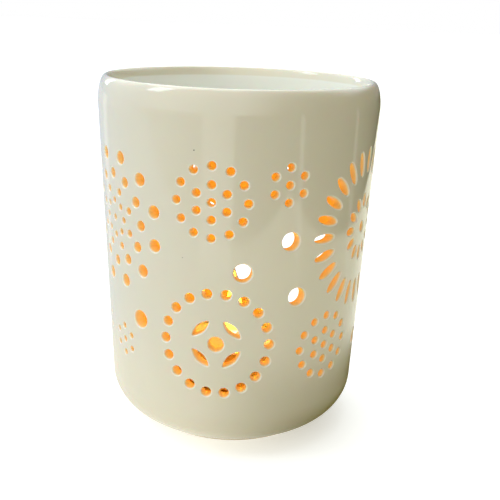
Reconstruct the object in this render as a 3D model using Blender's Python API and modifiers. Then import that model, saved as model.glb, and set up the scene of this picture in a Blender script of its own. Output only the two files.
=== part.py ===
"""Pierced ceramic tealight holder with a dish on top, and the tealight that stands in it.

Metres, +Z up. The origin is the centre of the foot's plane. The main pierced wheel faces -Y, and the round opening
that the tealight goes in and out through is at the back, turned a little towards +X.
"""

import math

import bmesh
import bpy
from mathutils import Matrix, Vector

# ---------------------------------------------------------------- driving dimensions, in millimetres
MM = 0.001
GAP = 0.3  # clearance kept between touching pieces

RIM_RADIUS = 46.0  # the wall's outer radius, carried up to the rim's height
HEIGHT = 115.7
TAPER = 0.0444  # the wall leans out by this much for each millimetre of height
WALL = 3.86
LIP_CREST_RADIUS = 43.1
LIP_OUTER_DROP = 8.3  # how far down the outer side the lip's rounding reaches
LIP_INNER_DROP = 4.2
CORNER_RADIAL = 20.1  # the outer bottom corner is a quarter ellipse
CORNER_HEIGHT = 16.3
FOOT_OUTER_RADIUS = 28.4
FOOT_INNER_RADIUS = 24.6
FOOT_EDGE = 0.6
RECESS_DEPTH = 6.0
FLOOR_TOP = 12.0
FLOOR_FLAT_RADIUS = 24.5
FLOOR_CORNER_HEIGHT = 12.0

DISH_SEAT = 99.0  # lowest line where the dish meets the wall
DISH_EDGE = 5.4  # height of the dish's edge along the wall
DISH_THICKNESS = 4.0
DISH_BOWL_DROP = 5.5  # how much lower the bowl is in its middle

ACCESS_AZIMUTH = 25.0  # degrees from +Y towards +X
ACCESS_HEIGHT = 42.5
ACCESS_RADIUS = 22.4

CUP_RADIUS = 18.8
CUP_BASE_RADIUS = 18.0
CUP_HEIGHT = 14.5
CUP_SHEET = 0.5
WAX_TOP = 12.0  # above the cup's underside
WAX_POOL_DEPTH = 1.2
WICK_RADIUS = 0.8
WICK_TOP = 18.0  # above the cup's underside
SUSTAINER_RADIUS = 6.3
SUSTAINER_SHEET = 0.35
SUSTAINER_NECK_RADIUS = 1.6
SUSTAINER_NECK_HEIGHT = 2.6

WALL_STEPS = 48
SMALL_STEPS = 32


def wall_outer(z):
    """Outer radius of the leaning wall at height z."""
    return RIM_RADIUS - TAPER * (HEIGHT - z)


def wall_inner(z):
    return wall_outer(z) - WALL


def quarter_ellipse(centre, half_width, half_height, start, end, count):
    """Points along an ellipse from one angle to another, in degrees from the outward direction."""
    points = []
    for i in range(count + 1):
        angle = math.radians(start + (end - start) * i / count)
        points.append((centre[0] + half_width * math.cos(angle), centre[1] + half_height * math.sin(angle)))
    return points


# ---------------------------------------------------------------- scene helpers
def clear_scene():
    for item in list(bpy.data.objects):
        bpy.data.objects.remove(item, do_unlink=True)


def new_collection(name):
    collection = bpy.data.collections.new(name)
    bpy.context.scene.collection.children.link(collection)
    return collection


def material(name, colour, roughness, metallic=0.0):
    made = bpy.data.materials.new(name)
    made.use_nodes = True
    shader = made.node_tree.nodes["Principled BSDF"]
    shader.inputs["Base Color"].default_value = (*colour, 1.0)
    shader.inputs["Roughness"].default_value = roughness
    shader.inputs["Metallic"].default_value = metallic
    return made


def turned(name, profile, steps, collection, finish):
    """A turned solid: the profile of (radius, height) points, spun about Z by a Screw modifier."""
    mesh = bpy.data.meshes.new(name)
    vertices = [(r * MM, 0.0, z * MM) for r, z in profile]
    mesh.from_pydata(vertices, [(i, i + 1) for i in range(len(vertices) - 1)], [])
    made = bpy.data.objects.new(name, mesh)
    collection.objects.link(made)
    screw = made.modifiers.new("turn", "SCREW")
    screw.axis = "Z"
    screw.angle = math.tau
    screw.steps = steps
    screw.render_steps = steps
    screw.use_merge_vertices = True
    screw.merge_threshold = 0.00001
    screw.use_smooth_shade = True
    mesh.materials.append(finish)
    return made


def cutter(name, mesh, collection):
    made = bpy.data.objects.new(name, mesh)
    collection.objects.link(made)
    made.hide_render = True
    made.display_type = "WIRE"
    return made


def cut(target, tool):
    boolean = target.modifiers.new("cut " + tool.name, "BOOLEAN")
    boolean.operation = "DIFFERENCE"
    boolean.solver = "EXACT"
    boolean.object = tool


# ---------------------------------------------------------------- pierced pattern
class Punches:
    """Round and long punches, driven straight through the wall towards the axis."""

    LENGTH = 16.0

    def __init__(self):
        self.mesh = bmesh.new()

    def hole(self, azimuth, z, radius, half_length=None, lean=0.0, sides=6):
        """One hole at an azimuth from -Y towards +X. A long hole leans away from upright by lean, in degrees."""
        long_scale = (half_length or radius) / radius
        angle = math.radians(azimuth)
        out = Vector((math.sin(angle), -math.cos(angle), 0.0))
        across = Vector((math.cos(angle), math.sin(angle), 0.0))
        up = Vector((0.0, 0.0, 1.0))
        facing = Matrix((across, up, out)).transposed().to_4x4()
        place = Matrix.Translation((out * (wall_outer(z) - WALL / 2) + up * z) * MM)
        corner_up = Matrix.Rotation(math.pi / 2, 4, "Z")
        shape = Matrix.Rotation(-math.radians(lean), 4, "Z") @ Matrix.Diagonal((1.0, long_scale, 1.0, 1.0))
        bmesh.ops.create_cone(
            self.mesh,
            cap_ends=True,
            segments=sides,
            radius1=radius * MM,
            radius2=radius * MM,
            depth=self.LENGTH * MM,
            matrix=place @ facing @ shape @ corner_up,
        )

    def ring(self, centre, ring_radius, count, start, radius, **long):
        """Holes evenly round a circle laid on the wall; start is the first one's angle from the top."""
        azimuth, z = centre
        lean_offset = long.pop("lean", None)
        for i in range(count):
            turn = start + 360.0 * i / count
            across = ring_radius * math.sin(math.radians(turn))
            rise = ring_radius * math.cos(math.radians(turn))
            place = azimuth + math.degrees(across / wall_outer(z))
            lean = 0.0 if lean_offset is None else turn + lean_offset
            self.hole(place, z + rise, radius, lean=lean, **long)

    def wheel(self, centre):
        """The large wheel: a ring of dots round a flower of four pointed petals."""
        self.ring(centre, 16.35, 18, 10.0, 1.55)
        self.ring(centre, 6.8, 4, 45.0, 1.33, half_length=3.6, lean=90.0)
        self.hole(*centre, 2.4, sides=8)

    def dots(self, centre, radius=1.22, rings=2, pitch=5.2):
        """A cluster of dots: one in the middle, six round it, and twelve round those in the larger clusters."""
        self.hole(*centre, radius)
        self.ring(centre, pitch, 6, 0.0, radius)
        if rings == 2:
            self.ring(centre, pitch * 2.06, 12, 0.0, radius)

    def sunburst(self, centre):
        """Two rings of petals that point at the middle dot."""
        self.hole(*centre, 1.7)
        self.ring(centre, 8.6, 12, 0.0, 1.2, half_length=2.2, lean=0.0)
        self.ring(centre, 21.5, 24, 0.0, 1.3, half_length=3.9, lean=0.0)

    def dot_burst(self, centre):
        """Rays of dots that grow outwards."""
        self.hole(*centre, 0.92)
        self.ring(centre, 5.5, 8, 0.0, 0.92)
        self.ring(centre, 9.2, 8, 22.5, 1.08)
        self.ring(centre, 14.0, 12, 0.0, 1.56)
        self.ring(centre, 20.1, 12, 15.0, 1.93)


def pierced_pattern():
    """Every punched hole: the front's motifs, then the plainer ones round the back."""
    punches = Punches()
    punches.wheel((0.0, 39.6))
    punches.dots((-2.45, 83.7), 1.24)
    punches.dots((26.65, 89.0), 1.17, rings=1)
    punches.dots((49.75, 36.0), pitch=4.85)
    punches.sunburst((72.2, 71.6))
    punches.dot_burst((-51.65, 73.5))
    for centre in ((-48.2, 33.4), (-70.5, 36.3)):
        punches.dots(centre, 0.9, rings=1, pitch=4.6)
    for centre in ((9.98, 62.7), (28.6, 72.0), (32.8, 54.4), (-35.65, 43.0), (81.5, 31.6)):
        punches.hole(*centre, 2.78, sides=8)

    punches.wheel((-125.0, 39.6))
    punches.dots((-112.0, 82.0), 1.24)
    punches.dots((108.0, 31.0), pitch=4.85)
    for centre in ((-150.0, 84.0), (120.0, 88.0), (160.0, 84.0)):
        punches.dots(centre, 1.17, rings=1)
    for centre in ((-92.0, 57.0), (-158.0, 62.0), (-100.0, 22.5)):
        punches.hole(*centre, 2.78, sides=8)
    mesh = bpy.data.meshes.new("pierced_pattern")
    punches.mesh.to_mesh(mesh)
    punches.mesh.free()
    return mesh


def access_hole():
    """The round opening at the back, wide enough for the tealight."""
    angle = math.radians(ACCESS_AZIMUTH)
    out = Vector((math.sin(angle), math.cos(angle), 0.0))
    turn = out.to_track_quat("Z", "Y").to_matrix().to_4x4()
    length = RIM_RADIUS + 10.0
    place = Matrix.Translation((out * (length / 2 + 22.0) + Vector((0.0, 0.0, ACCESS_HEIGHT))) * MM)
    shape = bmesh.new()
    bmesh.ops.create_cone(
        shape,
        cap_ends=True,
        segments=40,
        radius1=ACCESS_RADIUS * MM,
        radius2=ACCESS_RADIUS * MM,
        depth=length * MM,
        matrix=place @ turn,
    )
    mesh = bpy.data.meshes.new("access_hole")
    shape.to_mesh(mesh)
    shape.free()
    return mesh


# ---------------------------------------------------------------- sub-parts
def shell_profile():
    """From the middle of the chamber's floor, up the inside, over the lip, down the outside and under the foot."""
    inner_corner = wall_inner(FLOOR_TOP + FLOOR_CORNER_HEIGHT) - FLOOR_FLAT_RADIUS
    corner_centre = wall_outer(CORNER_HEIGHT) - CORNER_RADIAL
    lip_inner = wall_inner(HEIGHT - LIP_INNER_DROP)
    lip_outer = wall_outer(HEIGHT - LIP_OUTER_DROP)
    foot_angle = -math.degrees(math.acos((FOOT_OUTER_RADIUS + 2 * FOOT_EDGE - corner_centre) / CORNER_RADIAL))
    points = [(0.0, FLOOR_TOP)]
    points += quarter_ellipse(
        (FLOOR_FLAT_RADIUS, FLOOR_TOP + FLOOR_CORNER_HEIGHT), inner_corner, FLOOR_CORNER_HEIGHT, -90, 0, 5
    )
    points += quarter_ellipse(
        (LIP_CREST_RADIUS, HEIGHT - LIP_INNER_DROP), LIP_CREST_RADIUS - lip_inner, LIP_INNER_DROP, 180, 90, 3
    )
    points += quarter_ellipse(
        (LIP_CREST_RADIUS, HEIGHT - LIP_OUTER_DROP), lip_outer - LIP_CREST_RADIUS, LIP_OUTER_DROP, 90, 0, 4
    )[1:]
    points += quarter_ellipse((corner_centre, CORNER_HEIGHT), CORNER_RADIAL, CORNER_HEIGHT, 0, foot_angle, 6)
    points += [
        (FOOT_OUTER_RADIUS + FOOT_EDGE, FOOT_EDGE),
        (FOOT_OUTER_RADIUS, 0.0),
        (FOOT_INNER_RADIUS, 0.0),
        (FOOT_INNER_RADIUS - FOOT_EDGE, FOOT_EDGE),
        (FOOT_INNER_RADIUS - FOOT_EDGE, RECESS_DEPTH - 2 * FOOT_EDGE),
        (FOOT_INNER_RADIUS - 3 * FOOT_EDGE, RECESS_DEPTH),
        (0.0, RECESS_DEPTH),
    ]
    return points


def dish_profile():
    """The bowl that closes the top: its hollow, its edge against the wall, and its underside."""
    top = DISH_SEAT + DISH_EDGE
    edge_low = wall_inner(DISH_SEAT) - GAP
    edge_high = wall_inner(top) - GAP
    bowl_radius = edge_high - 1.2
    floor_top = DISH_SEAT + DISH_THICKNESS - DISH_BOWL_DROP
    hollow = quarter_ellipse((0.0, top), bowl_radius, top - floor_top, -90, 0, 6)
    under = quarter_ellipse((0.0, DISH_SEAT), edge_low - 1.2, DISH_BOWL_DROP, 0, -90, 6)
    return hollow + [(edge_high, top), (edge_low, DISH_SEAT)] + under


def cup_profile():
    """A pressed foil cup with a small turned-out lip."""
    base = FLOOR_TOP + GAP
    inside = CUP_RADIUS - 2 * CUP_SHEET
    return [
        (0.0, base + CUP_SHEET),
        (CUP_BASE_RADIUS - 1.4, base + CUP_SHEET),
        (CUP_BASE_RADIUS - CUP_SHEET - 0.2, base + CUP_SHEET + 0.8),
        (inside, base + CUP_HEIGHT - CUP_SHEET),
        (inside + 0.3, base + CUP_HEIGHT),
        (CUP_RADIUS, base + CUP_HEIGHT),
        (CUP_RADIUS, base + CUP_HEIGHT - CUP_SHEET),
        (CUP_RADIUS - CUP_SHEET, base + CUP_HEIGHT - 2 * CUP_SHEET),
        (CUP_BASE_RADIUS, base + 1.2),
        (CUP_BASE_RADIUS - 1.2, base),
        (0.0, base),
    ]


def wax_profile():
    """The wax, hollowed underneath for the wick's foot and up its middle for the wick."""
    base = FLOOR_TOP + GAP
    low = base + CUP_SHEET + GAP
    top = base + WAX_TOP
    wick_hole = WICK_RADIUS + GAP
    neck_hole = SUSTAINER_NECK_RADIUS + GAP
    foot_hole = SUSTAINER_RADIUS + GAP
    neck_top = low + SUSTAINER_NECK_HEIGHT + GAP
    foot_top = low + SUSTAINER_SHEET + GAP
    inner_low = CUP_BASE_RADIUS - CUP_SHEET - GAP
    inner_high = inner_low + (CUP_RADIUS - CUP_BASE_RADIUS - CUP_SHEET) * WAX_TOP / CUP_HEIGHT
    return [
        (foot_hole, low),
        (foot_hole, foot_top),
        (neck_hole, foot_top + 0.4),
        (neck_hole, neck_top),
        (wick_hole, neck_top + 0.3),
        (wick_hole, top - WAX_POOL_DEPTH),
        (inner_high * 0.45, top - WAX_POOL_DEPTH * 0.9),
        (inner_high * 0.8, top - WAX_POOL_DEPTH * 0.45),
        (inner_high - 0.2, top),
        (inner_low, low + 1.4),
        (inner_low - 1.4, low),
        (foot_hole, low),
    ]


def sustainer_profile():
    """The small pressed foot that holds the wick upright."""
    low = FLOOR_TOP + GAP + CUP_SHEET + GAP
    bore = WICK_RADIUS + GAP
    return [
        (bore, low),
        (bore, low + SUSTAINER_NECK_HEIGHT),
        (SUSTAINER_NECK_RADIUS, low + SUSTAINER_NECK_HEIGHT),
        (SUSTAINER_NECK_RADIUS, low + SUSTAINER_SHEET),
        (SUSTAINER_RADIUS, low + SUSTAINER_SHEET),
        (SUSTAINER_RADIUS, low),
        (bore, low),
    ]


def wick_profile():
    low = FLOOR_TOP + GAP + CUP_SHEET + GAP
    top = FLOOR_TOP + GAP + WICK_TOP
    return [
        (0.0, top),
        (WICK_RADIUS * 0.6, top),
        (WICK_RADIUS, top - 0.6),
        (WICK_RADIUS, low),
        (0.0, low),
    ]


def build():
    clear_scene()
    parts = new_collection("tealight_holder")
    tools = new_collection("cutters")

    glaze = material("ivory_glaze", (0.72, 0.70, 0.60), 0.12)
    foil = material("aluminium_foil", (0.80, 0.81, 0.82), 0.28, 1.0)
    paraffin = material("white_wax", (0.93, 0.90, 0.82), 0.45)
    cotton = material("wick_cotton", (0.10, 0.08, 0.07), 0.9)
    steel = material("tinned_steel", (0.62, 0.63, 0.65), 0.35, 1.0)

    shell = turned("pierced_shell", shell_profile(), WALL_STEPS, parts, glaze)
    cut(shell, cutter("access_hole", access_hole(), tools))
    cut(shell, cutter("pierced_pattern", pierced_pattern(), tools))
    turned("dish", dish_profile(), WALL_STEPS, parts, glaze)
    turned("tealight_cup", cup_profile(), SMALL_STEPS, parts, foil)
    turned("wax", wax_profile(), SMALL_STEPS, parts, paraffin)
    turned("wick_sustainer", sustainer_profile(), SMALL_STEPS // 2, parts, steel)
    turned("wick", wick_profile(), SMALL_STEPS // 4, parts, cotton)


build()
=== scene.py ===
# %% [markdown]
# # A pierced tealight holder, lit from inside
#
# The real thing is one glazed clay cylinder with a dish across its top, punched all round with dots
# and petals. A tealight stands in the chamber below the dish, and its light shows in the walls of
# every hole. The engineering model settles where everything is. These cells load it as a fixed frame,
# and then build the fine surfaces round it.

# %% Load the fixed frame
import math

import bpy
import numpy as np
from mathutils import Matrix, Vector


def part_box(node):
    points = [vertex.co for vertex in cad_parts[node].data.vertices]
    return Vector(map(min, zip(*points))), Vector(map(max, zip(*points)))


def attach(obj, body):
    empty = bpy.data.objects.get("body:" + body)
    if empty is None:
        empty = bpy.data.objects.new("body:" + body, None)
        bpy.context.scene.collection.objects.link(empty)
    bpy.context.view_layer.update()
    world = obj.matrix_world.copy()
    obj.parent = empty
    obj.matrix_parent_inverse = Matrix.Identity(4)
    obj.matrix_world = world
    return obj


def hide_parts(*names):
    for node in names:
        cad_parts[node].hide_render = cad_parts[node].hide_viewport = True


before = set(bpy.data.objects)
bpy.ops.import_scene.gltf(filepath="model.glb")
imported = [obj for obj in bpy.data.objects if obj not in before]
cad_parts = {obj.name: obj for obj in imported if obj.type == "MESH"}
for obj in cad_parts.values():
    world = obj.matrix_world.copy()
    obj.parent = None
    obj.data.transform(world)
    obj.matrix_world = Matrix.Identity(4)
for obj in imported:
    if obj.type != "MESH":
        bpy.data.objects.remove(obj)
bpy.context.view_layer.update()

MM = 0.001

# %% [markdown]
# ## The camera
#
# The camera comes early, because it decides how fine each surface has to be. It looks down a little,
# from just in front of the holder and slightly to its right, and it leans by two degrees, as a camera
# held in the hand does.

# %% The camera
CAMERA_PLACE = Vector((32.7, -272.1, 137.4)) * MM
CAMERA_AIM = Vector((5.1, 0.0, 57.4)) * MM
CAMERA_LEAN = 2.0
CAMERA_LENS = 59.8

camera = bpy.data.objects.new("camera", bpy.data.cameras.new("camera"))
bpy.context.scene.collection.objects.link(camera)
camera.data.lens = CAMERA_LENS
camera.data.clip_start = 0.01
facing = (CAMERA_AIM - CAMERA_PLACE).to_track_quat("-Z", "Y").to_matrix()
lean = Matrix.Rotation(math.radians(CAMERA_LEAN), 3, "Z")
camera.matrix_world = Matrix.Translation(CAMERA_PLACE) @ (facing @ lean).to_4x4()
bpy.context.scene.camera = camera
bpy.context.scene.view_settings.view_transform = "Standard"
print("camera is", round((CAMERA_AIM - CAMERA_PLACE).length / MM), "mm from the middle")

# %% [markdown]
# ## The main sizes
#
# The frame gives the overall sizes, so nothing here can drift from the engineering model. The wall
# leans out as it rises. These few numbers, in millimetres, are those that the boxes of the parts
# can't tell.

# %% The main sizes
shell_low, shell_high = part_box("pierced_shell")
dish_low, dish_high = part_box("dish")
cup_low, cup_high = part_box("tealight_cup")
wax_low, wax_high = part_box("wax")
wick_low, wick_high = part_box("wick")

TAPER = 0.0444
WALL = 3.86
LIP_OUTER_DROP = 8.3
LIP_INNER_DROP = 4.2
LIP_CREST_IN = 2.9
CORNER_RADIAL = 20.1
CORNER_HEIGHT = 16.3
FOOT_OUTER_RADIUS = 28.4
FOOT_INNER_RADIUS = 24.6
FOOT_EDGE = 0.6
RECESS_DEPTH = 6.0
FLOOR_FLAT_RADIUS = 24.5
FLOOR_CORNER_HEIGHT = 12.0
CUP_LIFT = 0.3

HEIGHT = shell_high.z / MM
RIM_RADIUS = shell_high.x / MM + TAPER * LIP_OUTER_DROP
FLOOR_TOP = cup_low.z / MM - CUP_LIFT


def wall_outer(z):
    """Outer radius of the wall at a height, all in millimetres."""
    return RIM_RADIUS - TAPER * (HEIGHT - z)


def wall_inner(z):
    """Inner radius of the wall, with the rounded corner where it meets the chamber's floor."""
    straight = wall_outer(z) - WALL
    corner_top = FLOOR_TOP + FLOOR_CORNER_HEIGHT
    rise = np.clip((corner_top - z) / FLOOR_CORNER_HEIGHT, 0.0, 1.0)
    corner_width = wall_outer(corner_top) - WALL - FLOOR_FLAT_RADIUS
    corner = FLOOR_FLAT_RADIUS + corner_width * np.sqrt(1.0 - rise**2)
    return np.where(z < corner_top, corner, straight)


print(f"holder {HEIGHT:.1f} mm tall, rim radius {RIM_RADIUS:.1f} mm, chamber floor at {FLOOR_TOP:.1f} mm")

# %% [markdown]
# ## Turning a round piece
#
# A potter's wheel and Blender's Spin do the same thing: a profile goes round an axis. The profile is
# drawn in edit mode by extruding one point again and again. Spin leaves a seam and doubled points on
# the axis, so the doubles are merged and the normals are made to point out.


# %% Turning a round piece
def deselect_all():
    bpy.ops.object.select_all(action="DESELECT")


def arc(centre, half_width, half_height, start, end, count):
    """Points along an ellipse from one angle to another, in degrees from the outward direction."""
    angles = [math.radians(start + (end - start) * i / count) for i in range(count + 1)]
    return [(centre[0] + half_width * math.cos(a), centre[1] + half_height * math.sin(a)) for a in angles]


def turned(name, profile, steps):
    """A turned piece from a profile of (radius, height) points in millimetres."""
    deselect_all()
    bpy.ops.mesh.primitive_circle_add(vertices=3, radius=MM)
    piece = bpy.context.object
    piece.name = name
    bpy.ops.object.mode_set(mode="EDIT")
    bpy.ops.mesh.select_mode(type="VERT")
    bpy.ops.mesh.select_all(action="SELECT")
    bpy.ops.mesh.merge(type="CENTER")
    bpy.ops.transform.translate(value=(profile[0][0] * MM, 0.0, profile[0][1] * MM))
    for (r0, z0), (r1, z1) in zip(profile, profile[1:]):
        move = ((r1 - r0) * MM, 0.0, (z1 - z0) * MM)
        bpy.ops.mesh.extrude_region_move(TRANSFORM_OT_translate={"value": move})
    bpy.ops.mesh.select_all(action="SELECT")
    bpy.ops.mesh.spin(steps=steps, angle=math.tau, center=(0.0, 0.0, 0.0), axis=(0.0, 0.0, 1.0))
    bpy.ops.mesh.select_all(action="SELECT")
    bpy.ops.mesh.remove_doubles(threshold=0.001 * MM)
    bpy.ops.mesh.normals_make_consistent(inside=False)
    bpy.ops.object.mode_set(mode="OBJECT")
    bpy.ops.object.shade_smooth()
    return piece


def points_of(piece):
    """A piece's vertices as an array of rows, in metres."""
    flat = np.empty(len(piece.data.vertices) * 3)
    piece.data.vertices.foreach_get("co", flat)
    return flat.reshape(-1, 3)


def move_points(piece, points):
    piece.data.vertices.foreach_set("co", points.ravel())
    piece.data.update()


# %% [markdown]
# ## The shell before punching
#
# The shell is one closed solid: chamber floor, inner wall, rounded lip, outer wall, corner, foot ring
# and the recess under the foot. A drinking glass could be an open surface with Solidify, but here the
# lip and the corner differ inside and out, so the whole section is drawn. The straight walls are
# split into rings, which keeps the later cuts tidy.

# %% The shell before punching
SHELL_STEPS = 256
WALL_RINGS = 22


def shell_section():
    crest = RIM_RADIUS - LIP_CREST_IN
    inner_start = FLOOR_TOP + FLOOR_CORNER_HEIGHT
    inner_end = HEIGHT - LIP_INNER_DROP
    outer_start = HEIGHT - LIP_OUTER_DROP
    points = [(0.0, FLOOR_TOP), (FLOOR_FLAT_RADIUS / 2, FLOOR_TOP)]
    inner_corner = float(wall_inner(inner_start)) - FLOOR_FLAT_RADIUS
    points += arc((FLOOR_FLAT_RADIUS, inner_start), inner_corner, FLOOR_CORNER_HEIGHT, -90, 0, 14)
    for i in range(1, WALL_RINGS):
        z = inner_start + (inner_end - inner_start) * i / WALL_RINGS
        points.append((wall_outer(z) - WALL, z))
    lip_inner = wall_outer(inner_end) - WALL
    lip_outer = wall_outer(outer_start)
    points += arc((crest, inner_end), crest - lip_inner, LIP_INNER_DROP, 180, 90, 12)
    points += arc((crest, outer_start), lip_outer - crest, LIP_OUTER_DROP, 90, 0, 18)[1:]
    for i in range(1, WALL_RINGS):
        z = outer_start + (CORNER_HEIGHT - outer_start) * i / WALL_RINGS
        points.append((wall_outer(z), z))
    corner = wall_outer(CORNER_HEIGHT) - CORNER_RADIAL
    foot_angle = -math.degrees(math.acos((FOOT_OUTER_RADIUS + 2 * FOOT_EDGE - corner) / CORNER_RADIAL))
    points += arc((corner, CORNER_HEIGHT), CORNER_RADIAL, CORNER_HEIGHT, 0, foot_angle, 20)
    recess_side = FOOT_INNER_RADIUS - FOOT_EDGE
    points += arc((FOOT_OUTER_RADIUS, FOOT_EDGE), FOOT_EDGE, FOOT_EDGE, 0, -90, 4)
    points += arc((FOOT_INNER_RADIUS, FOOT_EDGE), FOOT_EDGE, FOOT_EDGE, -90, -180, 4)
    recess_curve = 2 * FOOT_EDGE
    middle = (recess_side - recess_curve, RECESS_DEPTH - recess_curve)
    points += arc(middle, recess_curve, recess_curve, 0, 90, 5)
    points += [(recess_side / 2, RECESS_DEPTH), (0.0, RECESS_DEPTH)]
    return points


shell = turned("holder_shell", shell_section(), SHELL_STEPS)
print(shell.name, "has", len(shell.data.polygons), "faces before punching")

# %% [markdown]
# ## A punch with a soft mouth
#
# Glaze never leaves a sharp edge: it pulls back and rounds off round every hole. A Bevel after a
# Boolean would trip over the tiny faces that the cut leaves, so the rounding is put in the cutter. A
# punch is a stack of rings. Its middle rings are the hole itself, and towards each face of the wall
# the rings widen along a quarter circle, until they lie almost flat on the wall. Circles and
# extrusions give the stack, and a formula then lays each ring on the curved wall.

# %% The blank punch
MOUTH_EDGE = 0.55
ACCESS_EDGE = 1.2
MOUTH_ANGLES = (75, 50, 25, 0)
PROUD = 0.05
HEAD = 1.2
ROUND_POWER = 2.0
LEAF_POWER = 1.45


def mouth_rings(edge):
    """For each ring: the wall's face it is measured from, how far outside it, and how much wider."""
    angles = [math.radians(t) for t in MOUTH_ANGLES]
    curve = [(edge * (math.sin(t) - 1), edge * (1 - math.cos(t))) for t in angles]
    spread = curve[0][1] + (PROUD - curve[0][0]) * math.tan(angles[0])
    half = [(HEAD, spread), (PROUD, spread)] + curve
    return [(1, out, wide) for out, wide in half] + [(-1, out, wide) for out, wide in reversed(half)]


def blank_punch(sides, rings):
    """A closed stack of unit circles, one unit apart."""
    deselect_all()
    bpy.ops.mesh.primitive_circle_add(vertices=sides, radius=1.0, fill_type="NGON")
    blank = bpy.context.object
    bpy.ops.object.mode_set(mode="EDIT")
    bpy.ops.mesh.select_all(action="SELECT")
    for _ in rings[1:]:
        bpy.ops.mesh.extrude_region_move(TRANSFORM_OT_translate={"value": (0.0, 0.0, -1.0)})
    bpy.ops.mesh.select_all(action="SELECT")
    bpy.ops.mesh.normals_make_consistent(inside=False)
    bpy.ops.object.mode_set(mode="OBJECT")
    return blank


def outline(points, rings, half_width, half_length, pointed):
    """The blank's points as (across, up) on a flat wall. A pointed outline has tips like a leaf's."""
    power = LEAF_POWER if pointed else ROUND_POWER
    ring = np.rint(-points[:, 2]).astype(int)
    angle = np.arctan2(points[:, 1], points[:, 0])
    c, s = np.cos(angle), np.sin(angle)
    x = np.sign(c) * np.abs(c) ** (2 / power)
    y = np.sign(s) * np.abs(s) ** (2 / power)
    slope_x = np.sign(x) * np.abs(x) ** (power - 1) / half_width
    slope_y = np.sign(y) * np.abs(y) ** (power - 1) / half_length
    length = np.hypot(slope_x, slope_y)
    wide = np.array([r[2] for r in rings])[ring]
    across = x * half_width + wide * slope_x / length
    up = y * half_length + wide * slope_y / length
    side = np.array([r[0] for r in rings])[ring]
    out = np.array([r[1] for r in rings])[ring]
    return across, up, side, out


# %% [markdown]
# ## The pattern
#
# Every motif is rings of holes round a middle: dots in a wheel, petals in a flower or a sunburst, and
# rays of dots that grow. One function lays a ring, and each motif is a few calls of it. A place on
# the wall is an angle from the front and a height.


# %% Placing holes
class Pattern:
    """Punches laid on the wall, each a copy of one blank."""

    def __init__(self):
        self.rings = mouth_rings(MOUTH_EDGE)
        self.blanks = {sides: blank_punch(sides, self.rings) for sides in (16, 24, 32)}
        self.made = []

    def hole(self, azimuth, z, radius, half_length=None, lean=0.0, pointed=False, sides=16):
        """One hole at an angle from the front, towards the right; a long hole leans, in degrees."""
        blank = self.blanks[24 if half_length else sides]
        half_long = half_length or radius
        across, up, side, out = outline(points_of(blank), self.rings, radius, half_long, pointed)
        c, s = math.cos(math.radians(lean)), math.sin(math.radians(lean))
        turned_across, turned_up = across * c + up * s, up * c - across * s
        height = z + turned_up
        place = math.radians(azimuth) + turned_across / wall_outer(z)
        radial = np.where(side > 0, wall_outer(height) + out, wall_inner(height) - out)
        punch = blank.copy()
        punch.data = blank.data.copy()
        bpy.context.scene.collection.objects.link(punch)
        laid = np.column_stack((radial * np.sin(place), -radial * np.cos(place), height))
        move_points(punch, laid * MM)
        self.made.append(punch)

    def ring(self, centre, ring_radius, count, start, radius, lean=None, **long):
        """Holes evenly round a circle; start is the first one's angle from the top."""
        azimuth, z = centre
        for i in range(count):
            turn = start + 360.0 * i / count
            across = ring_radius * math.sin(math.radians(turn))
            rise = ring_radius * math.cos(math.radians(turn))
            place = azimuth + math.degrees(across / wall_outer(z))
            self.hole(place, z + rise, radius, lean=0.0 if lean is None else turn + lean, **long)

    def wheel(self, centre):
        self.ring(centre, 16.35, 18, 10.0, 1.55)
        self.ring(centre, 6.8, 4, 45.0, 1.33, half_length=3.6, lean=90.0, pointed=True)
        self.hole(*centre, 2.4, sides=32)

    def dots(self, centre, radius=1.22, rings=2, pitch=5.2):
        self.hole(*centre, radius)
        self.ring(centre, pitch, 6, 0.0, radius)
        if rings == 2:
            self.ring(centre, pitch * 2.06, 12, 0.0, radius)

    def sunburst(self, centre):
        self.hole(*centre, 1.7)
        self.ring(centre, 8.6, 12, 0.0, 1.2, half_length=2.2, lean=0.0)
        self.ring(centre, 21.5, 24, 0.0, 1.3, half_length=3.9, lean=0.0)

    def dot_burst(self, centre):
        self.hole(*centre, 0.92)
        self.ring(centre, 5.5, 8, 0.0, 0.92)
        self.ring(centre, 9.2, 8, 22.5, 1.08)
        self.ring(centre, 14.0, 12, 0.0, 1.56)
        self.ring(centre, 20.1, 12, 15.0, 1.93)


# %% The front and the back
LARGE_HOLE = 2.78

pattern = Pattern()
pattern.wheel((0.0, 39.6))
pattern.dots((-2.45, 83.7), 1.24)
pattern.dots((26.65, 89.0), 1.17, rings=1)
pattern.dots((49.75, 36.0), pitch=4.85)
pattern.sunburst((72.2, 71.6))
pattern.dot_burst((-51.65, 73.5))
for centre in ((-48.2, 33.4), (-70.5, 36.3)):
    pattern.dots(centre, 0.9, rings=1, pitch=4.6)
for centre in ((9.98, 62.7), (28.6, 72.0), (32.8, 54.4), (-35.65, 43.0), (81.5, 31.6)):
    pattern.hole(*centre, LARGE_HOLE, sides=32)
front_count = len(pattern.made)

pattern.wheel((-125.0, 39.6))
pattern.dots((-112.0, 82.0), 1.24)
pattern.dots((108.0, 31.0), pitch=4.85)
for centre in ((-150.0, 84.0), (120.0, 88.0), (160.0, 84.0)):
    pattern.dots(centre, 1.17, rings=1)
for centre in ((-92.0, 57.0), (-158.0, 62.0), (-100.0, 22.5)):
    pattern.hole(*centre, LARGE_HOLE, sides=32)
print(front_count, "holes in front and", len(pattern.made) - front_count, "behind")

# %% [markdown]
# ## The opening for the tealight
#
# The tealight goes in through a round opening at the back. It is cut straight, not towards the axis,
# so its rings are laid along one direction: each point slides out along that direction until it meets
# the wall. The wall bulges between the sides of so wide a hole, so the punch's two ends are flat and
# stand well clear of it.

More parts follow.
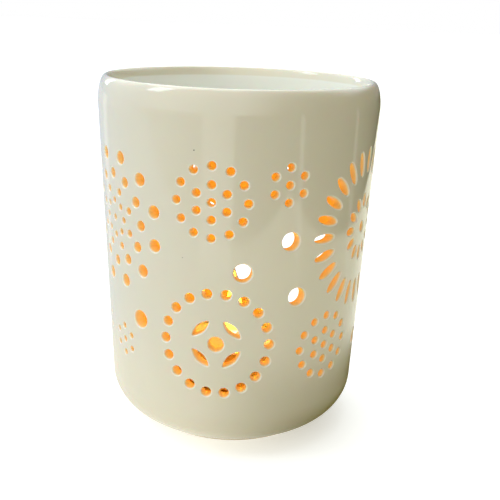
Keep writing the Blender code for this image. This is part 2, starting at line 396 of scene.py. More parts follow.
# %% The opening at the back
ACCESS_AZIMUTH = 25.0
ACCESS_HEIGHT = 42.5
ACCESS_RADIUS = 22.4
ACCESS_SIDES = 96


def access_punch():
    rings = mouth_rings(ACCESS_EDGE)
    punch = blank_punch(ACCESS_SIDES, rings)
    across, up, side, out = outline(points_of(punch), rings, ACCESS_RADIUS, ACCESS_RADIUS, False)
    height = ACCESS_HEIGHT + up
    face = np.where(side > 0, wall_outer(height), wall_inner(height))
    along = np.sqrt(face**2 - across**2) + side * out
    ends = np.where(side > 0, RIM_RADIUS + HEAD, FLOOR_FLAT_RADIUS)
    along = np.where(out == HEAD, ends, along)
    angle = math.radians(ACCESS_AZIMUTH)
    x = along * math.sin(angle) - across * math.cos(angle)
    y = along * math.cos(angle) + across * math.sin(angle)
    move_points(punch, np.column_stack((x, y, height)) * MM)
    return punch


opening_punch = access_punch()
print("opening:", 2 * ACCESS_RADIUS, "mm across")

# %% [markdown]
# ## Punching the wall
#
# All the small punches are joined into one tool, so one Boolean cuts every hole. The large opening is
# cut on its own first, because its punch passes close to its neighbours. The exact solver is used,
# because the punches graze the wall where they widen.


# %% Punching the wall
def join(pieces):
    deselect_all()
    for piece in pieces:
        piece.select_set(True)
    bpy.context.view_layer.objects.active = pieces[0]
    bpy.ops.object.join()
    return pieces[0]


def punch_out(piece, tool):
    """Cuts the tool out of the piece and throws the tool away."""
    cut = piece.modifiers.new("punch", "BOOLEAN")
    cut.operation = "DIFFERENCE"
    cut.solver = "EXACT"
    cut.object = tool
    deselect_all()
    piece.select_set(True)
    bpy.context.view_layer.objects.active = piece
    bpy.ops.object.modifier_apply(modifier="punch")
    bpy.data.objects.remove(tool, do_unlink=True)


punch_out(shell, opening_punch)
punch_out(shell, join(pattern.made))
for blank in pattern.blanks.values():
    bpy.data.objects.remove(blank, do_unlink=True)
print(shell.name, "has", len(shell.data.polygons), "faces after punching")

# %% [markdown]
# ## Clean shading after the cut
#
# A Boolean leaves long thin faces between the holes, and smooth shading smears across them. The wall
# is a plain cone, so its true normal is known at every point. It is set there, and everything else
# keeps the normal of its own mesh. The same measures mark what the glaze needs to know: the rounded
# mouths, the chamber, the sides of the pierced holes and the bowl.

# %% Clean shading after the cut
ON_WALL = 0.006
DISH_JOINT = 5.5
HOLE_START = 0.3


def true_wall_normals(piece):
    points = points_of(piece) / MM
    normals = np.empty(len(points) * 3)
    piece.data.vertices.foreach_get("normal", normals)
    normals = normals.reshape(-1, 3)
    radius = np.hypot(points[:, 0], points[:, 1])
    z = points[:, 2]
    outer_gap = wall_outer(z) - radius
    inner_gap = radius - (wall_outer(z) - WALL)
    straight_outer = (z > CORNER_HEIGHT) & (z < HEIGHT - LIP_OUTER_DROP)
    straight_inner = (z > FLOOR_TOP + FLOOR_CORNER_HEIGHT) & (z < HEIGHT - LIP_INNER_DROP)
    on_outer = (np.abs(outer_gap) < ON_WALL) & straight_outer
    on_inner = (np.abs(inner_gap) < ON_WALL) & straight_inner
    slope = math.atan(TAPER)
    unit = points[:, :2] / np.maximum(radius, ON_WALL)[:, None]
    true = np.column_stack((unit * math.cos(slope), np.full(len(points), -math.sin(slope))))
    normals[on_outer] = true[on_outer]
    normals[on_inner] = -true[on_inner]
    piece.data.normals_split_custom_set_from_vertices([tuple(n) for n in normals])
    through = straight_outer & (outer_gap > ON_WALL)
    mouth_share = np.clip(1.0 - outer_gap / MOUTH_EDGE, 0.0, 1.0)
    mouth = np.where(through & (inner_gap > 0.0), mouth_share, 0.0)
    candle_side = (z > FLOOR_TOP - ON_WALL) & (z < dish_low.z / MM + DISH_JOINT)
    chamber = np.where(candle_side & (radius < wall_inner(z) + ON_WALL), 1.0, 0.0)
    angle = math.radians(ACCESS_AZIMUTH)
    across = points[:, 1] * math.sin(angle) - points[:, 0] * math.cos(angle)
    at_back = points[:, 0] * math.sin(angle) + points[:, 1] * math.cos(angle) > 0
    opening = at_back & (np.hypot(across, z - ACCESS_HEIGHT) < ACCESS_RADIUS + 2 * ACCESS_EDGE)
    pierced = through & candle_side & ~opening
    hole = np.where(pierced, np.clip(outer_gap / MOUTH_EDGE - HOLE_START, 0.0, 1.0), 0.0)
    bowl = np.where((z > dish_low.z / MM + DISH_JOINT) & (inner_gap < ON_WALL), 1.0, 0.0)
    for name, values in (("mouth", mouth), ("chamber", chamber), ("hole", hole), ("bowl", bowl)):
        piece.data.attributes.new(name, "FLOAT", "POINT").data.foreach_set("value", values.astype(np.float32))
    return int(on_outer.sum()), int((mouth > 0).sum()), int((hole > 0).sum())


print("points on the outer wall, in the mouths and in the holes:", true_wall_normals(shell))

# %% [markdown]
# ## The dish
#
# The dish is a shallow bowl whose edge is luted to the wall. On the real piece the glaze runs into
# that joint and fills it to a soft fillet, so the visible dish reaches the wall.

# %% The dish
DISH_EDGE = 5.4
DISH_THICKNESS = 4.0
FILLET = 1.6
JOINT_OVERLAP = 0.05


def dish_section():
    top = dish_high.z / MM
    seat = top - DISH_EDGE
    under_low = dish_low.z / MM
    edge_high = wall_outer(top) - WALL + JOINT_OVERLAP
    edge_low = wall_outer(seat) - WALL + JOINT_OVERLAP
    hollow_radius = edge_high - FILLET
    rim = top - FILLET / 2
    hollow = arc((0.0, rim), hollow_radius, rim - under_low - DISH_THICKNESS, -90, 0, 20)
    fillet = arc((edge_high - FILLET, top), FILLET, FILLET / 2, -90, 0, 5)[1:]
    under = arc((0.0, seat), edge_low - FILLET, seat - under_low, 0, -90, 20)
    return hollow + fillet + [(edge_low, seat)] + under


dish = turned("oil_dish", dish_section(), SHELL_STEPS)
bowl_mark = dish.data.attributes.new("bowl", "FLOAT", "POINT")
bowl_mark.data.foreach_set("value", np.ones(len(dish.data.vertices)))
print(dish.name, "has", len(dish.data.polygons), "faces")

# %% [markdown]
# ## The tealight
#
# A tealight's cup is pressed from thin foil, and the press leaves shallow flutes down its side and a
# rolled rim. The cup is turned first, and then the points of its side are moved in and out by a
# cosine to flute it.

# %% The foil cup
CUP_SHEET = 0.35
CUP_FLUTES = 36
FLUTE_DEPTH = 0.16
CUP_STEPS = 216
ROLL = 0.5


def cup_section():
    base, top = cup_low.z / MM, cup_high.z / MM
    rim = cup_high.x / MM
    side_high, side_low = rim - ROLL, rim - 0.85
    inner_high, inner_low = side_high - CUP_SHEET, side_low - CUP_SHEET
    points = [(0.0, base + CUP_SHEET), (inner_low - 2.0, base + CUP_SHEET)]
    points += arc((inner_low - 1.0, base + CUP_SHEET + 1.0), 1.0, 1.0, -80, 0, 4)
    for i in range(1, 7):
        radius = inner_low + (inner_high - inner_low) * i / 6
        points.append((radius, base + 1.4 + (top - base - 2.2) * i / 6))
    points += arc((side_high, top - ROLL), ROLL, ROLL, 150, -60, 8)
    for i in range(6):
        radius = side_high + (side_low - side_high) * i / 6
        points.append((radius, top - 1.1 - (top - base - 2.4) * i / 6))
    points += arc((side_low - 1.2, base + 1.2), 1.2, 1.2, 0, -90, 5)
    return points + [(side_low - 3.0, base), (side_low - 3.6, base + 0.12), (0.0, base + 0.12)]


def flute(piece):
    points = points_of(piece)
    angle = np.arctan2(points[:, 1], points[:, 0])
    height = (points[:, 2] / MM - cup_low.z / MM) / ((cup_high.z - cup_low.z) / MM)
    radius = np.hypot(points[:, 0], points[:, 1]) / MM
    side = (radius > cup_high.x / MM - 2.6) * np.clip(np.sin(np.pi * np.clip(height * 1.15, 0, 1)), 0, 1)
    shrink = 1.0 - side * FLUTE_DEPTH * (0.5 + 0.5 * np.cos(CUP_FLUTES * angle)) / np.maximum(radius, 1.0)
    points[:, :2] *= shrink[:, None]
    move_points(piece, points)


cup = turned("foil_cup", cup_section(), CUP_STEPS)
flute(cup)
print(cup.name, "has", len(cup.data.polygons), "faces and", CUP_FLUTES, "flutes")

# %% [markdown]
# The wax has burned for a while, so it stands lower in the middle, where a clear pool lies round the
# wick. A thin skin of wax climbs the foil at its edge. The section has a bore for the wick, so the
# wax is a ring and not a disc.

# %% The wax
WAX_STEPS = 128


def wax_section():
    low, top = wax_low.z / MM, wax_high.z / MM
    edge = cup_high.x / MM - 1.55
    foot = edge - 0.55
    bore = wick_high.x / MM + 0.15
    pool = top - 1.25
    points = [(bore, low + 3.4), (bore, pool + 0.1), (bore + 0.4, pool), (6.5, pool), (8.8, pool + 0.05)]
    points += [(10.2, pool + 0.28), (11.6, pool + 0.62), (14.0, pool + 0.82), (edge - 1.2, pool + 0.95)]
    points += [(edge - 0.35, top - 0.1), (edge, top), (foot, low + 1.3), (foot - 1.3, low)]
    points += [(6.6, low), (6.6, low + 0.7)]
    return points + [(1.9, low + 1.0), (1.9, low + 3.1), (bore, low + 3.4)]


wax = turned("wax_fill", wax_section(), WAX_STEPS)
print(wax.name, "has", len(wax.data.polygons), "faces")

# %% [markdown]
# A burning wick curls over at its tip. It starts as a circle that is extruded upward in short steps,
# straight at first and then each moved a little further sideways than the last. Every other ring near
# the tip is a little smaller, which gives it ribs.

# %% The wick
WICK_SIDES = 12
WICK_BASE_STEPS = 6
WICK_CURL_STEPS = 9
WICK_CURL = 0.9
WICK_STRAIGHT = 0.72


def curled_wick():
    radius = wick_high.x
    low, top = wick_low.z, wick_high.z
    straight = (top - low) * WICK_STRAIGHT
    deselect_all()
    base = (0, 0, low)
    bpy.ops.mesh.primitive_circle_add(vertices=WICK_SIDES, radius=radius, fill_type="NGON", location=base)
    wick = bpy.context.object
    wick.name = "charred_wick"
    bpy.ops.object.transform_apply(location=True)
    bpy.ops.object.mode_set(mode="EDIT")
    bpy.ops.mesh.select_all(action="SELECT")
    step = {"value": (0.0, 0.0, straight / WICK_BASE_STEPS)}
    for _ in range(WICK_BASE_STEPS):
        bpy.ops.mesh.extrude_region_move(TRANSFORM_OT_translate=step)
    rise = (top - low - straight) / WICK_CURL_STEPS
    for i in range(WICK_CURL_STEPS):
        bend = WICK_CURL * MM * (2 * i + 1) / WICK_CURL_STEPS**2
        bpy.ops.mesh.extrude_region_move(TRANSFORM_OT_translate={"value": (bend, -bend * 0.4, rise * 0.97)})
        size = 0.97 if i % 2 else 1.0
        bpy.ops.transform.resize(value=(size, size, 1.0))
    bpy.ops.mesh.select_all(action="SELECT")
    bpy.ops.mesh.normals_make_consistent(inside=False)
    bpy.ops.object.mode_set(mode="OBJECT")
    soften = wick.modifiers.new("soften", "SUBSURF")
    soften.levels = soften.render_levels = 1
    bpy.ops.object.modifier_apply(modifier="soften")
    bpy.ops.object.shade_smooth()
    return wick


wick = curled_wick()
print(wick.name, "tops out at", round(max(points_of(wick)[:, 2]) / MM, 1), "mm")

# %% [markdown]
# ## The flame
#
# A candle flame is a still drop of glowing gas: round below, drawn to a point above, widest a third
# of the way up. It is turned like the other pieces, and given light instead of a surface. It rides
# with the tealight, so when the tealight is taken out the glow goes with it.

# %% The flame
FLAME_TIP = 49.7
FLAME_BASE_BELOW_WICK = 4.4
FLAME_RADIUS = 3.5
FLAME_STEPS = 32
FLAME_RINGS = 22


def flame_section():
    base = wick_high.z / MM - FLAME_BASE_BELOW_WICK
    points = []
    for i in range(FLAME_RINGS + 1):
        t = i / FLAME_RINGS
        swell = math.sin(math.pi * t**0.62) * (1.0 - 0.2 * t)
        points.append((0.0 if i in (0, FLAME_RINGS) else FLAME_RADIUS * swell, base + (FLAME_TIP - base) * t))
    return list(reversed(points))


flame = turned("flame", flame_section(), FLAME_STEPS)
print("flame tip at", FLAME_TIP, "mm")

# %% [markdown]
# ## Writing shaders as sums
#
# Node trees are hard to read as code. Here one small class wraps a socket, and the ordinary signs add
# Math nodes, so 1 - mask means what it says. A second class owns a material, and its one method makes
# any other node.


# %% Writing shaders as sums
class Value:
    """One output of a node, which sums and products can be written with."""

    def __init__(self, finish, output):
        self.finish = finish
        self.output = output

    def combine(self, operation, first, second):
        return self.finish.node("ShaderNodeMath", {"operation": operation}, {0: first, 1: second})

    def __add__(self, other):
        return self.combine("ADD", self, other)

    def __sub__(self, other):
        return self.combine("SUBTRACT", self, other)

    def __rsub__(self, other):
        return self.combine("SUBTRACT", other, self)

    def __mul__(self, other):
        return self.combine("MULTIPLY", self, other)

    def __truediv__(self, other):
        return self.combine("DIVIDE", self, other)

    def __gt__(self, other):
        return self.combine("GREATER_THAN", self, other)

    def __lt__(self, other):
        return self.combine("LESS_THAN", self, other)

    __radd__ = __add__
    __rmul__ = __mul__


class Finish:
    """One material and its nodes."""

    def __init__(self, name):
        self.material = bpy.data.materials.new(name)
        self.material.use_nodes = True
        self.tree = self.material.node_tree
        self.shader = self.tree.nodes["Principled BSDF"]

    def node(self, kind, settings, inputs, output=0):
        """Makes a node, gives it its settings and then its inputs, and returns one of its outputs."""
        made = self.tree.nodes.new(kind)
        for key, value in settings.items():
            if key == "stops":
                self.set_stops(made.color_ramp.elements, value)
            else:
                setattr(made, key, value)
        for key, value in inputs.items():
            self.feed(made.inputs[key], value)
        return Value(self, made.outputs[output])

    @staticmethod
    def set_stops(elements, stops):
        while len(elements) < len(stops):
            elements.new(1.0)
        for element, (place, colour) in zip(elements, stops):
            element.position = place
            element.color = colour

    def feed(self, socket, value):
        if isinstance(value, Value):
            self.tree.links.new(value.output, socket)
        else:
            socket.default_value = value

    def surface(self, **inputs):
        """Feeds the Principled shader; base_color means its Base Color."""
        for key, value in inputs.items():
            self.feed(self.shader.inputs[key.replace("_", " ").title()], value)

    def place(self):
        """Where a point is on the piece, in metres."""
        return self.node("ShaderNodeTexCoord", {}, {}, output="Object")

    def noise(self, size_mm, detail=2.0, roughness=0.5):
        """Smooth random values from 0 to 1, with blobs of about that size."""
        inputs = {"Vector": self.place(), "Scale": 1.0 / (size_mm * MM)}
        inputs.update({"Detail": detail, "Roughness": roughness})
        return self.node("ShaderNodeTexNoise", {}, inputs)

    def mix(self, factor, first, second):
        return self.node("ShaderNodeMix", {"data_type": "RGBA"}, {0: factor, 6: first, 7: second}, output=2)

    def bump(self, height, distance_mm, strength=1.0):
        inputs = {"Height": height, "Distance": distance_mm * MM, "Strength": strength}
        return self.node("ShaderNodeBump", {}, inputs, output="Normal")

    def wear(self, *pieces):
        for piece in pieces:
            piece.data.materials.clear()
            piece.data.materials.append(self.material)


# %% [markdown]
# ## The glaze
#
# A clear glossy glaze over white clay looks ivory and a little uneven. The mouths of the holes are
# painted paler, a painted highlight on their rounded edges. The bowl is painted whiter and cooler,
# which is painted daylight. Little glaze runs into the holes and the chamber, so they are rougher,
# and they are painted orange, which is painted candle light. The sides of the holes also get a weak
# painted glow, which stands for the candle's light coming through the clay. It is no lamp, and it
# stays when the tealight is taken out. The skin of the glaze has a faint slow ripple, which bends the
# reflections. A few dark specks of iron show in it, and the foot ring is wiped bare before firing,
# so it is matt.

# %% The glaze
IVORY = (0.80, 0.768, 0.635, 1.0)
IVORY_DEEP = (0.76, 0.733, 0.595, 1.0)
# Painted highlight: the mouths of the holes are painted paler, for the light on their rounded edges.
MOUTH_PAINTED_HIGHLIGHT = (0.93, 0.915, 0.83, 1.0)
# Painted daylight: the bowl is painted whiter and cooler than the rest of the glaze.
BOWL_PAINTED_DAYLIGHT = (0.86, 0.87, 0.80, 1.0)
# Painted candle light: the chamber is painted orange.
CHAMBER_PAINTED_CANDLELIGHT = (0.90, 0.68, 0.24, 1.0)
# Painted candle light: the sides of the holes are painted orange.
HOLE_PAINTED_CANDLELIGHT = (0.93, 0.68, 0.26, 1.0)
# Painted glow: the sides of the holes give off a weak orange light of their own, though they are no lamp.
HOLE_PAINTED_GLOW = (1.0, 0.43, 0.03, 1.0)
BARE_CLAY = (0.72, 0.66, 0.54, 1.0)
SPECK = (0.10, 0.08, 0.05, 1.0)
CLAY_GLOW = 0.25
COAT = 0.9
HOLE_PAINTED_GLOW_STRENGTH = 0.17
MOUTH_HIGHLIGHT_SHARE = 0.8
SPECK_DARKNESS = 0.8
SPECK_SIZE = 0.03
SPECK_RARITY = 0.6
FOOT_WIPED = 0.9
DRY_SHARE = 0.85
DRY_ROUGHNESS = 0.6
BARE_ROUGHNESS = 0.75
RIPPLE_DEPTH = 0.12
BLACK = (0.0, 0.0, 0.0, 1.0)


def ivory_glaze():
    finish = Finish("ivory_glaze")
    height = finish.node("ShaderNodeSeparateXYZ", {}, {0: finish.place()}, output="Z")
    colour = finish.mix(finish.noise(14.0), IVORY, IVORY_DEEP)
    bowl = finish.node("ShaderNodeAttribute", {"attribute_name": "bowl"}, {}, output="Fac")
    # The bowl gets painted daylight, whiter and cooler than the glaze elsewhere.
    colour = finish.mix(bowl, colour, BOWL_PAINTED_DAYLIGHT)
    mouth = finish.node("ShaderNodeAttribute", {"attribute_name": "mouth"}, {}, output="Fac")
    # The mouths get a painted highlight, paler than the glaze round them.
    colour = finish.mix(mouth * MOUTH_HIGHLIGHT_SHARE, colour, MOUTH_PAINTED_HIGHLIGHT)
    chamber = finish.node("ShaderNodeAttribute", {"attribute_name": "chamber"}, {}, output="Fac")
    # The chamber gets painted orange candle light.
    colour = finish.mix(chamber, colour, CHAMBER_PAINTED_CANDLELIGHT)
    hole = finish.node("ShaderNodeAttribute", {"attribute_name": "hole"}, {}, output="Fac")
    # The sides of the holes get painted orange candle light.
    colour = finish.mix(hole, colour, HOLE_PAINTED_CANDLELIGHT)
    cells = {"Vector": finish.place(), "Scale": 1.0 / (7.0 * MM)}
    near = finish.node("ShaderNodeTexVoronoi", {}, cells, output="Distance")
    chance = finish.node("ShaderNodeTexVoronoi", {}, cells, output="Color")
    speck = (near < SPECK_SIZE) * (chance > SPECK_RARITY)
    colour = finish.mix(speck * SPECK_DARKNESS, colour, SPECK)
    bare = height < FOOT_WIPED * MM
    colour = finish.mix(bare, colour, BARE_CLAY)
    gloss = 0.07 + finish.noise(5.0) * 0.05
    dry = (hole + chamber) * DRY_SHARE
    rough = gloss * (1.0 - dry) + dry * DRY_ROUGHNESS
    ripple = finish.noise(9.0) * 1.0 + finish.noise(1.6, detail=1.0) * 0.05
    finish.surface(
        base_color=colour,
        roughness=rough * (1.0 - bare) + bare * BARE_ROUGHNESS,
        subsurface_weight=CLAY_GLOW,
        subsurface_radius=(1.0, 0.42, 0.16),
        subsurface_scale=2.0 * MM,
        coat_weight=(1.0 - dry) * (1.0 - bare) * COAT,
        # The sides of the holes get a weak painted orange glow. It is no lamp, and it stays when the tealight
        # is taken out.
        emission_color=finish.mix(hole, BLACK, HOLE_PAINTED_GLOW),
        emission_strength=HOLE_PAINTED_GLOW_STRENGTH,
        normal=finish.bump(ripple, RIPPLE_DEPTH),
    )
    return finish


glaze = ivory_glaze()
glaze.wear(shell, dish)
print("finish:", glaze.material.name)

# %% [markdown]
# ## The tealight's finishes
#
# Foil is bright metal with a grain from rolling. Wax is cloudy and lets light into it, and its molten
# pool is glossy. The wick is pale where it is still cotton, black where it has burned, and its tip
# glows. The steel foot is tinned.

# %% The tealight's finishes
FOIL = (0.88, 0.885, 0.89, 1.0)
FOIL_DULL = (0.78, 0.785, 0.80, 1.0)
FOIL_GRAIN = 0.35
WAX = (0.93, 0.90, 0.82, 1.0)
WAX_POOL = (0.80, 0.74, 0.60, 1.0)
COTTON = (0.62, 0.56, 0.44, 1.0)
CHAR = (0.012, 0.010, 0.009, 1.0)
EMBER = (1.0, 0.16, 0.02, 1.0)
TIN = (0.62, 0.63, 0.65, 1.0)
TIN_DULL = (0.50, 0.51, 0.53, 1.0)
POOL_EDGE = (8.4, 10.6)


def aluminium_foil():
    finish = Finish("aluminium_foil")
    stretched = finish.node("ShaderNodeMapping", {}, {0: finish.place(), 3: (1.0, 1.0, 0.08)})
    fine = {"Vector": stretched, "Scale": 1.0 / (FOIL_GRAIN * MM), "Detail": 2.0}
    grain = finish.node("ShaderNodeTexNoise", {}, fine)
    finish.surface(
        base_color=finish.mix(finish.noise(4.0), FOIL, FOIL_DULL),
        metallic=1.0,
        roughness=0.22 + grain * 0.14,
        normal=finish.bump(grain * 0.3 + finish.noise(2.5), 0.05),
    )
    return finish


def white_wax():
    finish = Finish("white_wax")
    parts = {0: finish.place(), 1: (1.0, 1.0, 0.0)}
    flat = finish.node("ShaderNodeVectorMath", {"operation": "MULTIPLY"}, parts)
    from_wick = finish.node("ShaderNodeVectorMath", {"operation": "LENGTH"}, {0: flat}, output="Value")
    limits = {"Value": from_wick, "From Min": POOL_EDGE[0] * MM, "From Max": POOL_EDGE[1] * MM}
    solid = finish.node("ShaderNodeMapRange", {"interpolation_type": "SMOOTHSTEP"}, limits)
    finish.surface(
        base_color=finish.mix(solid, WAX_POOL, WAX),
        roughness=0.06 + solid * 0.34 + finish.noise(1.5) * 0.06 * solid,
        subsurface_weight=0.35,
        subsurface_scale=2.0 * MM,
        normal=finish.bump(finish.noise(2.2) * solid, 0.15),
    )
    return finish


def charred_cotton():
    finish = Finish("wick_cotton")
    height = finish.node("ShaderNodeSeparateXYZ", {}, {0: finish.place()}, output="Z")
    limits = {"Value": height, "From Min": wax_high.z - 1.5 * MM, "From Max": wax_high.z + 1.2 * MM}
    burned = finish.node("ShaderNodeMapRange", {}, limits)
    tip_limits = {"Value": height, "From Min": wick_high.z - 1.6 * MM, "From Max": wick_high.z - 0.3 * MM}
    tip = finish.node("ShaderNodeMapRange", {}, tip_limits)
    finish.surface(
        base_color=finish.mix(burned, COTTON, CHAR),
        roughness=0.92,
        emission_color=finish.mix(tip, BLACK, EMBER),
        emission_strength=2.5,
        normal=finish.bump(finish.noise(0.35), 0.2),
    )
    return finish


def tinned_steel():
    finish = Finish("tinned_steel")
    finish.surface(
        base_color=finish.mix(finish.noise(1.5), TIN, TIN_DULL),
        metallic=1.0,
        roughness=0.28 + finish.noise(0.6) * 0.2,
        normal=finish.bump(finish.noise(0.5), 0.03),
    )
    return finish


for make, pieces in (
    (aluminium_foil, [cup]),
    (white_wax, [wax]),
    (charred_cotton, [wick]),
    (tinned_steel, [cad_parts["wick_sustainer"]]),
):
    finish = make()
    finish.wear(*pieces)
    print("finish:", finish.material.name)

# %% [markdown]
# ## The flame's light
#
# A flame gives light and has no surface. Its colour runs from a dim blue root, through orange, to
# bright yellow. The shader's base is black, so nothing but the glow is seen. The strength stays the
# same all over, and the colour alone carries the change.

# %% The flame's light
FLAME_STRENGTH = 22.0


def flame_light():
    finish = Finish("flame_glow")
    height = finish.node("ShaderNodeSeparateXYZ", {}, {0: finish.place()}, output="Z")
    base = wick_high.z - FLAME_BASE_BELOW_WICK * MM
    share = (height - base) / (FLAME_TIP * MM - base)
    stops = [
        (0.0, (0.03, 0.03, 0.08, 1.0)),
        (0.12, (0.35, 0.14, 0.01, 1.0)),
        (0.30, (1.0, 0.45, 0.010, 1.0)),
        (0.8, (1.0, 0.47, 0.012, 1.0)),
        (1.0, (0.8, 0.30, 0.01, 1.0)),
    ]
    glow = finish.node("ShaderNodeValToRGB", {"stops": stops}, {"Fac": share})
    finish.surface(base_color=BLACK, roughness=1.0, emission_color=glow, emission_strength=FLAME_STRENGTH)
    finish.shader.inputs["Specular IOR Level"].default_value = 0.0
    return finish


flame_light().wear(flame)
print("flame strength", FLAME_STRENGTH)

# %% [markdown]
# ## Which piece moves with what
#
# The shell and the dish stay put. The cup, its wax, the wick and the flame move together as the
# tealight. Each fine piece stands for the plain node that it replaces, which is hidden.

# %% Which piece moves with what
for piece, body, node, slot in (
    (shell, "holder", "pierced_shell", "ivory_glaze"),
    (dish, "holder", "dish", "ivory_glaze"),
    (cup, "tealight", "tealight_cup", "aluminium_foil"),
    (wax, "tealight", "wax", "white_wax"),
    (wick, "tealight", "wick", "wick_cotton"),
):
    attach(piece, body)
    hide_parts(node)
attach(flame, "tealight")
print("riding: shell, dish, cup, wax, wick and flame")

# %% [markdown]
# ## The studio
#
# A wide pale floor stands under a soft sky. The sky is cool and bright on the left, where the window
# is, dull and warm on the right, and brightest high up at the back, which draws the white line along
# the lip. It is plain white where it is looked at directly, so only its light has a side.

# %% The floor and the sky
FLOOR_SIZE = 12.0
FLOOR_LIGHT = 0.5
SKY_LEFT = (0.62, 0.68, 0.78, 1.0)
SKY_RIGHT = (0.15, 0.11, 0.01, 1.0)
SKY_FRONT = (1.06, 1.03, 0.95, 1.0)
SKY_BACK = (1.2, 1.3, 1.36, 1.0)


def ramp(finish, value, start, end):
    """Rises smoothly from 0 to 1 as the value goes from start to end."""
    limits = {"Value": value, "From Min": start, "From Max": end}
    return finish.node("ShaderNodeMapRange", {"interpolation_type": "SMOOTHSTEP"}, limits)


def pale_floor():
    deselect_all()
    bpy.ops.mesh.primitive_plane_add(size=FLOOR_SIZE)
    floor = bpy.context.object
    floor.name = "floor"
    finish = Finish("pale_floor")
    colour = finish.mix(finish.noise(90.0), (0.90, 0.90, 0.89, 1.0), (0.88, 0.88, 0.87, 1.0))
    finish.surface(base_color=colour, roughness=0.7, emission_color=colour, emission_strength=FLOOR_LIGHT)
    finish.wear(floor)


class Sky(Finish):
    """The world's nodes, made in the same way as a material's."""

    def __init__(self):
        self.world = bpy.data.worlds.new("studio")
        self.world.use_nodes = True
        self.tree = self.world.node_tree
        self.shader = self.tree.nodes["Background"]
        bpy.context.scene.world = self.world


def soft_sky():
    sky = Sky()
    direction = sky.node("ShaderNodeTexCoord", {}, {}, output="Generated")
    x, y, z = [sky.node("ShaderNodeSeparateXYZ", {}, {0: direction}, output=axis) for axis in "XYZ"]
    light = sky.mix(ramp(sky, x, -1.0, 1.0), SKY_LEFT, SKY_RIGHT)
    light = sky.mix(ramp(sky, y, 0.0, -0.8) * ramp(sky, x, 0.75, 0.1), light, SKY_FRONT)
    light = sky.mix(ramp(sky, z, 0.2, 0.55) * ramp(sky, y, -0.2, 0.6), light, SKY_BACK)
    seen = sky.node("ShaderNodeLightPath", {}, {}, output="Is Camera Ray")
    sky.surface(color=sky.mix(seen, light, (1.0, 1.0, 1.0, 1.0)))


pale_floor()
soft_sky()
print("floor and sky are up")

# %% [markdown]
# One soft lamp overhead and two soft windows on the left shape the object. The far window is small,
# because its reflection is the white glint on the left of the lip.


# %% The lights
def soft_light(name, place, width, height, power, colour=(1.0, 1.0, 1.0)):
    """A soft rectangular lamp aimed at the middle of the holder."""
    lamp = bpy.data.lights.new(name, "AREA")
    lamp.shape = "RECTANGLE"
    lamp.size = width
    lamp.size_y = height
    lamp.energy = power
    lamp.color = colour
    stand = bpy.data.objects.new(name, lamp)
    bpy.context.scene.collection.objects.link(stand)
    place = Vector(place)
    middle = Vector((0.0, 0.0, HEIGHT * MM / 2))
    aim = (middle - place).to_track_quat("-Z", "Y").to_matrix().to_4x4()
    stand.matrix_world = Matrix.Translation(place) @ aim


soft_light("overhead", (-0.35, 0.1, 1.3), 1.2, 1.2, 6.6, (0.94, 1.0, 1.04))
soft_light("window", (-0.9, -0.35, 0.85), 0.3, 0.5, 1.8, (0.84, 0.95, 1.06))
soft_light("far_window", (-1.0, 0.86, 0.45), 0.2, 0.4, 0.6, (0.90, 0.97, 1.0))
print("lights: overhead and two windows")

# %% [markdown]
# A glossy thing shows what stands round it. Photographers lay cards out of the picture for it to
# reflect, and one card does that here. This card gives off its painted colours as light, so it also
# lights the object. It lies on the floor, where the object sees it and the camera doesn't, and it is
# clear from below, so the floor under it stays lit. It is painted like a table: a painted shadow of
# the holder close to it on the side away from the window, pale painted light further out, and beyond
# the table's edge a dim room. Painted light from the window lies across it in streaks, each a
# bearing from the front, a width and a strength, and their reflections are the upright bands on the
# wall.

# %% The card
CARD_LIFT = 0.0004
TABLE_FRONT = 0.215
TABLE_SIDE = 0.235
TABLE_EDGE = 0.018
# The shade colours are a painted shadow of the holder on the card, dark on the side away from the window.
SHADE_LEFT = (0.92, 0.88, 0.74, 1.0)
SHADE_RIGHT = (0.12, 0.095, 0.0, 1.0)
TABLE_LEFT = (0.66, 0.70, 0.76, 1.0)
TABLE_RIGHT = (0.97, 0.95, 0.75, 1.0)
ROOM_LEFT = (0.50, 0.48, 0.40, 1.0)
ROOM_RIGHT = (0.07, 0.055, 0.004, 1.0)
STREAK = (2.2, 2.2, 2.1, 1.0)
STREAKS = ((-126.0, 7.0, 0.16), (-8.0, 22.0, 0.34), (56.0, 1.5, 0.35), (112.0, 1.5, 0.2))
STREAK_BLUR = 2.0
STREAK_START = (0.15, 0.22)
SHADE_SIDES = (-0.02, 0.045)
SHADE_REACH = (0.062, 0.115)
TABLE_SIDES = (-0.3, 0.2)
ROOM_SIDES = (-0.25, 0.2)


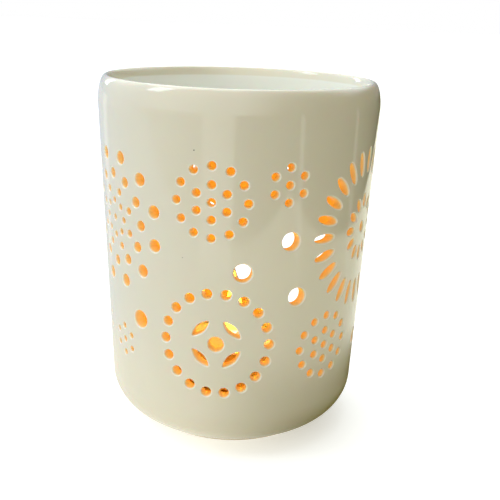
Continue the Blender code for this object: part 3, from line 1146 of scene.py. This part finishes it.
def painted_card():
    deselect_all()
    bpy.ops.mesh.primitive_plane_add(size=FLOOR_SIZE, location=(0.0, 0.0, CARD_LIFT))
    sheet = bpy.context.object
    sheet.name = "card"
    bpy.ops.object.transform_apply(location=True)
    finish = Finish("card")
    parts = {0: finish.place(), 1: (1.0, 1.0, 0.0)}
    spot = finish.node("ShaderNodeVectorMath", {"operation": "MULTIPLY"}, parts)
    x, y = [finish.node("ShaderNodeSeparateXYZ", {}, {0: spot}, output=axis) for axis in "XY"]
    away = finish.node("ShaderNodeVectorMath", {"operation": "LENGTH"}, {0: spot}, output="Value")
    # Painted shadow of the holder, close to it.
    shade = finish.mix(ramp(finish, x, *SHADE_SIDES), SHADE_LEFT, SHADE_RIGHT)
    table = finish.mix(ramp(finish, x, *TABLE_SIDES), TABLE_LEFT, TABLE_RIGHT)
    room = finish.mix(ramp(finish, x, *ROOM_SIDES), ROOM_LEFT, ROOM_RIGHT)
    painted = finish.mix(ramp(finish, away, *SHADE_REACH), shade, table)
    past_front = ramp(finish, y, -TABLE_FRONT, -TABLE_FRONT - TABLE_EDGE)
    painted = finish.mix(past_front, painted, room)
    past_side = ramp(finish, x, TABLE_SIDE, TABLE_SIDE + TABLE_EDGE)
    painted = finish.mix(past_side, painted, ROOM_RIGHT)
    bearing = x.combine("ARCTAN2", x, 0.0 - y) * math.degrees(1.0)
    for middle, width, share in STREAKS:
        off = bearing.combine("ABSOLUTE", bearing - middle, 0.0)
        inside = ramp(finish, off, width / 2 + STREAK_BLUR, width / 2)
        painted = finish.mix(inside * ramp(finish, away, *STREAK_START) * share, painted, STREAK)
    # The card has a black base and gives off its painted light and shade as light.
    finish.surface(base_color=BLACK, roughness=1.0, emission_color=painted, emission_strength=1.0)
    below = finish.node("ShaderNodeNewGeometry", {}, {}, output="Backfacing")
    clear = finish.node("ShaderNodeBsdfTransparent", {}, {})
    card_light = Value(finish, finish.shader.outputs[0])
    both = finish.node("ShaderNodeMixShader", {}, {0: below, 1: card_light, 2: clear})
    finish.feed(finish.tree.nodes["Material Output"].inputs["Surface"], both)
    finish.wear(sheet)
    sheet.visible_camera = False
    sheet.visible_shadow = False


painted_card()
print("card: shade, table and room")
